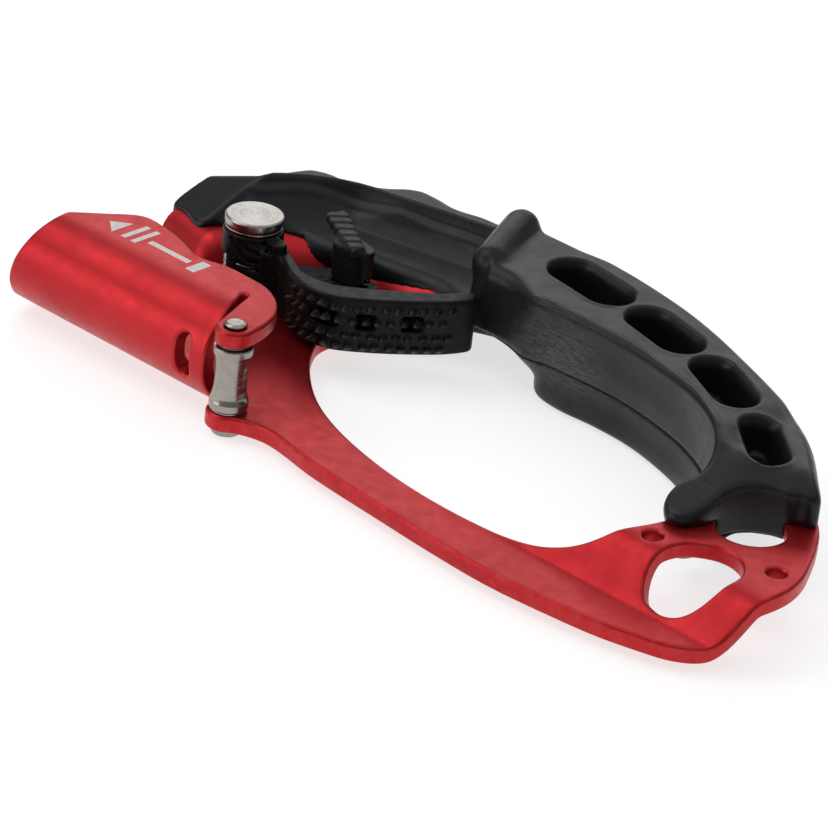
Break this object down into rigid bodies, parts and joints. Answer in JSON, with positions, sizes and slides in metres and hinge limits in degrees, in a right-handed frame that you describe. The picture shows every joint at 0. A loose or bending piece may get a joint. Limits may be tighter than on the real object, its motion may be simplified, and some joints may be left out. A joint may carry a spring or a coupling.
{
  "type": "handled ascender",
  "caption": "Right-hand rope ascender: formed aluminium body with rope channel, toothed cam with thumb catch, rope roller, rubber handle and attachment holes.",
  "frame": {"origin": "centre of the footprint on the surface it lies on, back down", "axes": "+X down the rope line towards the attachment end, +Y from the rope channel to the handle, +Z out of the front"},
  "size_m": [0.2012, 0.0968, 0.0289],
  "materials": {
    "anodised_red": "bead-blasted, red anodised, satin",
    "grip_rubber": "moulded black rubber, satin",
    "cam_steel": "black coated cast steel",
    "black_plastic": "moulded black plastic, matt",
    "stainless": "turned stainless steel",
    "spring_steel": "drawn spring wire",
    "bronze": "sintered bronze"
  },
  "bodies": {
    "body": {"frame": "anodised_red", "grip_front_shell": "grip_rubber", "grip_rear_shell": "grip_rubber", "cam_axle": "stainless", "cam_lower_washer": "stainless", "cam_upper_washer": "stainless", "cam_spring": "spring_steel", "roller_pin": "stainless", "roller_lower_washer": "stainless", "roller_upper_washer": "stainless"},
    "cam": {"cam": "cam_steel", "cam_bush": "bronze", "catch_pin": "stainless", "catch_spring": "spring_steel"},
    "thumb_catch": {"thumb_catch": "black_plastic"},
    "roller": {"roller": "stainless", "roller_bush": "bronze"}
  },
  "joints": [
    {"name": "cam_pivot", "type": "hinge", "parent": "body", "child": "cam", "pos_m": [-0.0658, -0.00036, 0.0126], "axis": [0, 0, 1], "range_deg": [-60, 0]},
    {"name": "catch_pivot", "type": "hinge", "parent": "cam", "child": "thumb_catch", "pos_m": [-0.048, 0.01294, 0.0156], "axis": [0, 0, 1], "range_deg": [0, 12], "stiffness_Nm_per_rad": 0.02},
    {"name": "roller_spin", "type": "hinge", "parent": "body", "child": "roller", "pos_m": [-0.0308, -0.04136, 0.0131], "axis": [0, 0, 1], "continuous": true}
  ]
}
